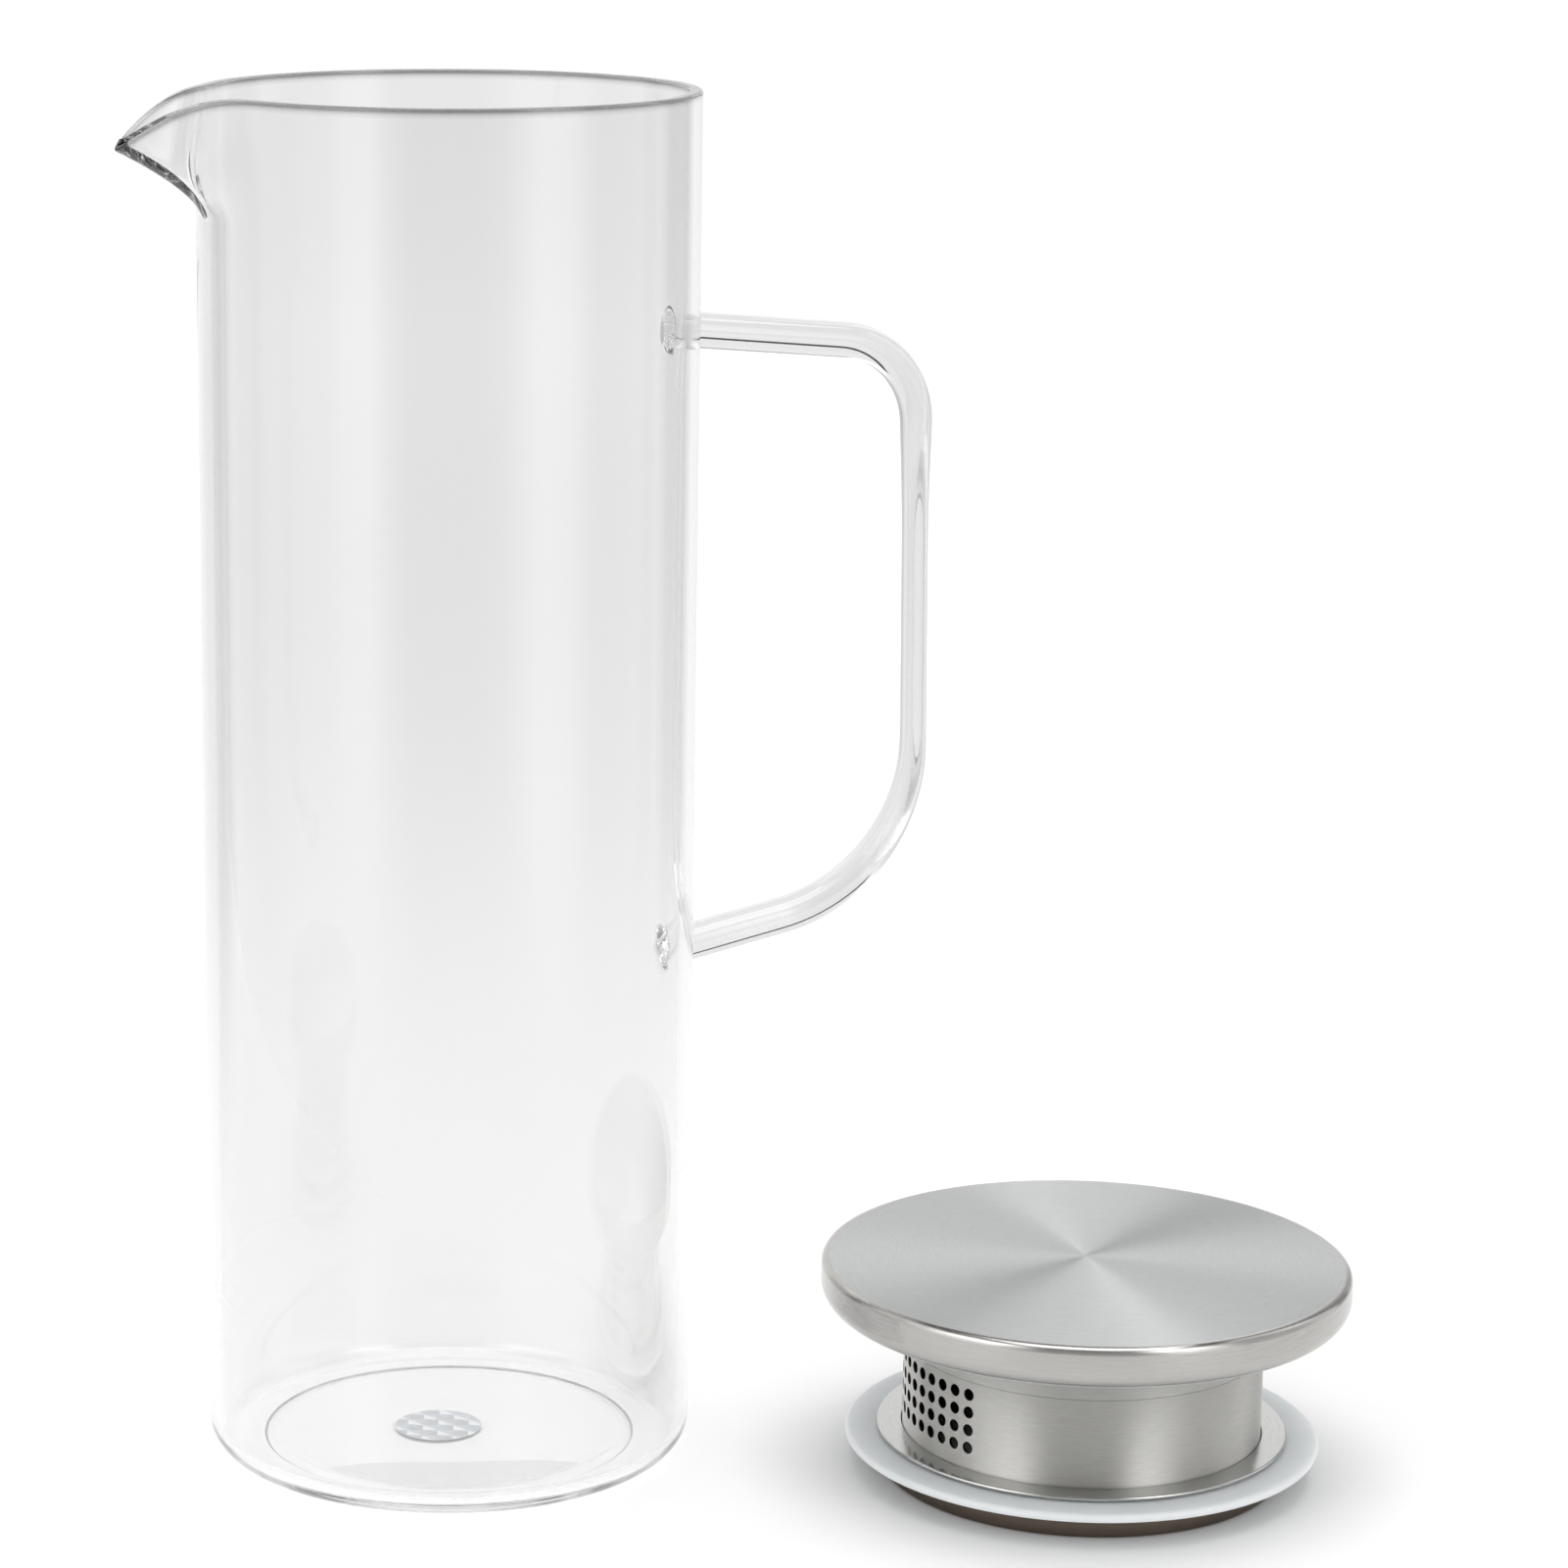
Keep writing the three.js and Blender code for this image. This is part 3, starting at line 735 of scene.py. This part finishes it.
# Moulded silicone: milky and translucent, with a satin skin and a trace of cloud in it.
CLOUD = 9 * MM
LIGHT_DEPTH = 4 * MM
silicone, tree, shader = new_material("moulded_silicone", {
    "Roughness": 0.42,
    "IOR": 1.41,
    "Subsurface Weight": 1,
    "Subsurface Radius": (1, 1, 1),
    "Subsurface Scale": LIGHT_DEPTH,
})
place = node(tree, "ShaderNodeTexCoord")
cloud = node(
    tree, "ShaderNodeTexNoise", {"Scale": 1 / CLOUD, "Detail": 2}, {"Vector": place.outputs["Object"]},
)
milk = node(tree, "ShaderNodeValToRGB", links={"Fac": cloud.outputs[0]})
milk.color_ramp.elements[0].color = linear("#DDE2E5")
milk.color_ramp.elements[1].color = linear("#E8ECEE")
tree.links.new(milk.outputs[0], shader.inputs["Base Color"])
dress(seal, silicone)
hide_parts("seal_ring")
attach(seal, "seal")

# Base ring: a channel pressed from sheet and open below, with its outer edge rolled under.
# It is crimped to the foot of the neck and holds the seal from below.
ring_low, ring_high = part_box("base_ring")
ring_radius = (ring_high.x - ring_low.x) / 2
ROLLED_EDGE = 0.9 * MM
ROLL_START = 84
RING_SHOULDER = 0.4 * MM
ring_section = [
    (sleeve_inside, ring_low.z),
    (sleeve_inside + SHEET, ring_low.z),
    (sleeve_inside + SHEET, ring_high.z - SHEET),
    (ring_radius - SHEET, ring_high.z - SHEET),
    *arc(ring_radius - ROLLED_EDGE, ring_low.z + ROLLED_EDGE, ROLLED_EDGE, ROLL_START, 360, steps=24),
    *arc(ring_radius - RING_SHOULDER, ring_high.z - RING_SHOULDER, RING_SHOULDER, 0, 90, steps=6),
    (sleeve_inside, ring_high.z),
]
base_ring = lid_piece("lid_base_ring", ring_section, closed=True)
# The base ring is painted the same dark steel: painted shade and painted reflection of the dim floor round
# it.
finish_steel(base_ring, "base_ring", painted_shade_steel)

# Studio: a white table that keeps a soft shadow, a white surround, a toned wall and three softboxes.
# The wall, a grey ceiling card and a dark band stay out of the picture, and give the glass and the steel
# light and dark to show.
TABLE_SIZE = 8
TABLE_DROP = 0.05 * MM
bpy.ops.object.select_all(action="DESELECT")
bpy.ops.mesh.primitive_plane_add(size=TABLE_SIZE, location=(0, 0, -TABLE_DROP))
table = bpy.context.object
table.name = "table"
white, tree, shader = new_material("white_table", {
    "Base Color": linear("#F4F4F4"),
    "Roughness": 0.9,
    "Specular IOR Level": 0,
    "Emission Color": linear("#FFFFFF"),
})


def background_share(tree):
    """1 for a ray that shows the white background, directly, in metal or through glass, and 0 for others."""
    path = node(tree, "ShaderNodeLightPath")
    seen = node(
        tree, "ShaderNodeMath", links={0: path.outputs["Is Camera Ray"], 1: path.outputs["Is Glossy Ray"]},
        operation="MAXIMUM",
    )
    return node(
        tree, "ShaderNodeMath", links={0: seen.outputs[0], 1: path.outputs["Is Transmission Ray"]},
        operation="MAXIMUM",
    )


# Away from the lamps the table glows, so that it stays white. Metal and glass see less of that glow.
TABLE_GLOW = 0.36
GLOW_START = 0.2
GLOW_FULL = 1
MIRRORED_GLOW = 0.22
MIRRORED_START = 0.3
MIRRORED_FULL = 1.9
place = node(tree, "ShaderNodeTexCoord")
reach = node(tree, "ShaderNodeVectorMath", links={0: place.outputs["Object"]}, operation="LENGTH")
far = node(
    tree, "ShaderNodeMapRange", {"From Min": GLOW_START, "From Max": GLOW_FULL, "To Max": TABLE_GLOW},
    {"Value": reach.outputs["Value"]}, interpolation_type="SMOOTHSTEP",
)
mirrored = node(
    tree, "ShaderNodeMapRange",
    {"From Min": MIRRORED_START, "From Max": MIRRORED_FULL, "To Max": MIRRORED_GLOW},
    {"Value": reach.outputs["Value"]}, interpolation_type="SMOOTHSTEP",
)
path = node(tree, "ShaderNodeLightPath")
shown = node(
    tree, "ShaderNodeMapRange",
    links={"Value": path.outputs["Is Camera Ray"], "To Min": mirrored.outputs[0], "To Max": far.outputs[0]},
)
glow = node(
    tree, "ShaderNodeMath", links={0: background_share(tree).outputs[0], 1: shown.outputs[0]},
    operation="MULTIPLY",
)
tree.links.new(glow.outputs[0], shader.inputs["Emission Strength"])
dress(table, white)

SOFT_LIGHT = 0.75
world = bpy.data.worlds.new("white_surround")
bpy.context.scene.world = world
world.use_nodes = True
tree = world.node_tree
tree.nodes.clear()
level = node(
    tree, "ShaderNodeMapRange", {"To Min": SOFT_LIGHT, "To Max": 1},
    {"Value": background_share(tree).outputs[0]},
)
surround = node(tree, "ShaderNodeBackground", {"Color": linear("#FFFFFF")}, {"Strength": level.outputs[0]})
node(tree, "ShaderNodeOutputWorld", links={"Surface": surround.outputs[0]})

VIEW_AZIMUTH = -18
RING_SIDES = 72


def round_the_view(azimuth, distance, height):
    """A place by its azimuth from the camera's side of the pitcher, in degrees to the right."""
    turn = math.radians(VIEW_AZIMUTH + azimuth)
    return Vector((math.sin(turn) * distance, -math.cos(turn) * distance, height))


def standing_ring(name, radius, foot, height):
    """A ring of paper that stands round the object, open above and below."""
    bpy.ops.object.select_all(action="DESELECT")
    bpy.ops.mesh.primitive_cylinder_add(
        vertices=RING_SIDES, radius=radius, depth=height, end_fill_type="NOTHING",
        location=(0, 0, foot + height / 2),
    )
    ring = bpy.context.object
    ring.name = name
    bpy.ops.object.transform_apply(location=True)
    return ring


def only_mirrored(card):
    """Keeps a card out of the picture, and from lighting or shading it, so only metal and glass show it."""
    card.visible_camera = False
    card.visible_diffuse = False
    card.visible_shadow = False


# The wall is open behind the object, and a skirt leads from its foot in over the table.
WALL_RADIUS = 0.6
WALL_HEIGHT = 0.9
WALL_END = 157
SKIRT_RADIUS = 0.2
studio = standing_ring("studio_wall", WALL_RADIUS, 0, WALL_HEIGHT)
bpy.ops.object.mode_set(mode="EDIT")
shell = bmesh.from_edit_mesh(studio.data)
view_side = round_the_view(0, 1, 0)
behind = [
    f for f in shell.faces
    if f.calc_center_median().to_2d().angle(view_side.to_2d()) > math.radians(WALL_END)
]
bmesh.ops.delete(shell, geom=behind, context="FACES")
wall_foot = [e for e in shell.edges if max(v.co.z for v in e.verts) < MERGE_GAP]
skirt = bmesh.ops.extrude_edge_only(shell, edges=wall_foot)["geom"]
for corner in [g for g in skirt if isinstance(g, bmesh.types.BMVert)]:
    corner.co *= SKIRT_RADIUS / WALL_RADIUS
bmesh.update_edit_mesh(studio.data)
bpy.ops.object.mode_set(mode="OBJECT")

# Its tone changes with the azimuth from the camera's side, as light panels between dark cards.
# It fades to the table's tone along the skirt, and its panels are lamps higher up.
WALL_LIGHT = 1.6
SKIRT_FADE = 0.65
SKIRT_TONE = 0.66
LAMP_FOOT = 0.28
LAMP_FULL = 0.42
LAMP_BOOST = 2.5
wall_tones = [
    (-157, 0.66), (-152, 0.6), (-147, 0.52), (-132, 0.52), (-128, 0.2), (-118, 0.2), (-114, 0.62),
    (-105, 0.62), (-90, 0.5), (-66, 0.82), (-50, 0.92), (-41, 0.9), (-33, 0.62), (-19, 0.3),
    (20, 0.3), (29, 0.55), (35, 0.9), (42, 1), (50, 0.9), (67, 0.42), (88, 0.4), (105, 0.62),
    (114, 0.62), (118, 0.2), (128, 0.2), (131, 0.35), (143, 0.35), (147, 0.52), (152, 0.6), (157, 0.66),
]
tent, tree, shader = new_material("studio_wall_tones", {
    "Base Color": linear("#000000"),
    "Specular IOR Level": 0,
    "Emission Color": linear("#FFFFFF"),
})
place = node(tree, "ShaderNodeTexCoord")
turned = node(
    tree, "ShaderNodeMapping", {"Rotation": (0, 0, math.radians(90 - VIEW_AZIMUTH))},
    {"Vector": place.outputs["Object"]},
)
sweep = node(tree, "ShaderNodeTexGradient", links={"Vector": turned.outputs[0]}, gradient_type="RADIAL")
tones = node(tree, "ShaderNodeValToRGB", links={"Fac": sweep.outputs["Fac"]})
tones.color_ramp.interpolation = "EASE"
for azimuth, tone in wall_tones:
    stop = tones.color_ramp.elements.new(0.5 + azimuth / 360)
    stop.color = (tone, tone, tone, 1)
tones.color_ramp.elements.remove(tones.color_ramp.elements[0])
tones.color_ramp.elements.remove(tones.color_ramp.elements[-1])
height = node(tree, "ShaderNodeSeparateXYZ", links={0: place.outputs["Object"]})
ground = node(
    tree, "ShaderNodeVectorMath", {1: (1, 1, 0)}, {0: place.outputs["Object"]}, operation="MULTIPLY",
)
reach = node(tree, "ShaderNodeVectorMath", links={0: ground.outputs[0]}, operation="LENGTH")
climb = node(
    tree, "ShaderNodeMath", links={0: reach.outputs["Value"], 1: height.outputs["Z"]}, operation="ADD",
)
low = node(
    tree, "ShaderNodeMapRange", {"From Min": SKIRT_RADIUS, "From Max": SKIRT_RADIUS + SKIRT_FADE},
    {"Value": climb.outputs[0]}, interpolation_type="SMOOTHSTEP",
)
faded = node(
    tree, "ShaderNodeMapRange", {"To Min": SKIRT_TONE}, {"Value": low.outputs[0], "To Max": tones.outputs[0]},
)
squared = node(
    tree, "ShaderNodeMath", links={0: tones.outputs[0], 1: tones.outputs[0]}, operation="MULTIPLY",
)
boosted = node(tree, "ShaderNodeMath", {1: LAMP_BOOST}, {0: squared.outputs[0]}, operation="MULTIPLY")
toned = node(
    tree, "ShaderNodeMapRange", {"From Min": LAMP_FOOT, "From Max": LAMP_FULL},
    {"Value": height.outputs["Z"], "To Min": faded.outputs[0], "To Max": boosted.outputs[0]},
    interpolation_type="SMOOTHSTEP",
)
lit = node(tree, "ShaderNodeMath", {1: WALL_LIGHT}, {0: toned.outputs[0]}, operation="MULTIPLY")
tree.links.new(lit.outputs[0], shader.inputs["Emission Strength"])
dress(studio, tent)
only_mirrored(studio)

CEILING_RADIUS = 1.8
CEILING_HEIGHT = 1.5
CEILING_SIDES = 64
bpy.ops.object.select_all(action="DESELECT")
bpy.ops.mesh.primitive_circle_add(
    vertices=CEILING_SIDES, radius=CEILING_RADIUS, fill_type="NGON", location=(0, 0, CEILING_HEIGHT),
)
ceiling = bpy.context.object
ceiling.name = "ceiling_card"
paper = new_material("ceiling_paper", {"Base Color": linear("#4A4A4A"), "Roughness": 1})[0]
dress(ceiling, paper)
only_mirrored(ceiling)

# Only glass shows the dark band, as fine dark lines along the handle's arms.
BAND_RADIUS = 0.62
BAND_FOOT = 0.3
BAND_HEIGHT = 0.04
band = standing_ring("dark_band", BAND_RADIUS, BAND_FOOT, BAND_HEIGHT)
black = new_material("black_card", {"Base Color": linear("#101010"), "Specular IOR Level": 0})[0]
dress(band, black)
only_mirrored(band)
band.visible_glossy = False

LAMP_AIM = Vector((0, 0, 0.12))


def softbox(name, azimuth, distance, height, width, length, power):
    """A softbox that points at the middle of the pair."""
    lamp = bpy.data.lights.new(name, "AREA")
    lamp.shape = "RECTANGLE"
    lamp.size = width
    lamp.size_y = length
    lamp.energy = power
    box = bpy.data.objects.new(name, lamp)
    bpy.context.scene.collection.objects.link(box)
    box.location = round_the_view(azimuth, distance, height)
    box.rotation_euler = (LAMP_AIM - box.location).to_track_quat("-Z", "Y").to_euler()
    return box


left_box = softbox("left_softbox", azimuth=-47, distance=1.4, height=0.7, width=0.5, length=1.3, power=3)
left_box.visible_glossy = False
right_box = softbox("right_softbox", azimuth=45, distance=1.4, height=0.7, width=0.4, length=1.3, power=3)
right_box.visible_glossy = False
softbox("top_softbox", azimuth=90, distance=0.1, height=1.3, width=0.75, length=0.9, power=7)

# Light runs a long way inside the thick base and the rod, and is followed through more turns than usual.
LIGHT_TURNS = 200
bpy.context.scene.cycles.max_bounces = LIGHT_TURNS
bpy.context.scene.cycles.glossy_bounces = LIGHT_TURNS
bpy.context.scene.cycles.transmission_bounces = LIGHT_TURNS

# Camera: at the photograph's place, above the table and turned towards the spout's side.
# Its shift and roll set the pair in the frame as it stands in the photograph.
CAMERA_REACH = 928.3 * MM
CAMERA_HEIGHT = 353.8 * MM
CAMERA_TILT = 77.03
CAMERA_TURN = -19.447
CAMERA_ROLL = 0.33
CAMERA_LENS = 107.46
CAMERA_SENSOR = 36
CAMERA_SHIFT = 0.14
camera_data = bpy.data.cameras.new("camera")
camera_data.lens = CAMERA_LENS
camera_data.sensor_width = CAMERA_SENSOR
camera_data.shift_x = CAMERA_SHIFT
camera = bpy.data.objects.new("camera", camera_data)
bpy.context.scene.collection.objects.link(camera)
camera.location = PITCHER_AXIS + round_the_view(0, CAMERA_REACH, CAMERA_HEIGHT)
aim = Euler((math.radians(CAMERA_TILT), 0, math.radians(CAMERA_TURN))).to_quaternion()
roll = Quaternion((0, 0, 1), math.radians(CAMERA_ROLL))
camera.rotation_euler = (aim @ roll).to_euler()
bpy.context.scene.camera = camera
bpy.context.scene.view_settings.view_transform = "Standard"
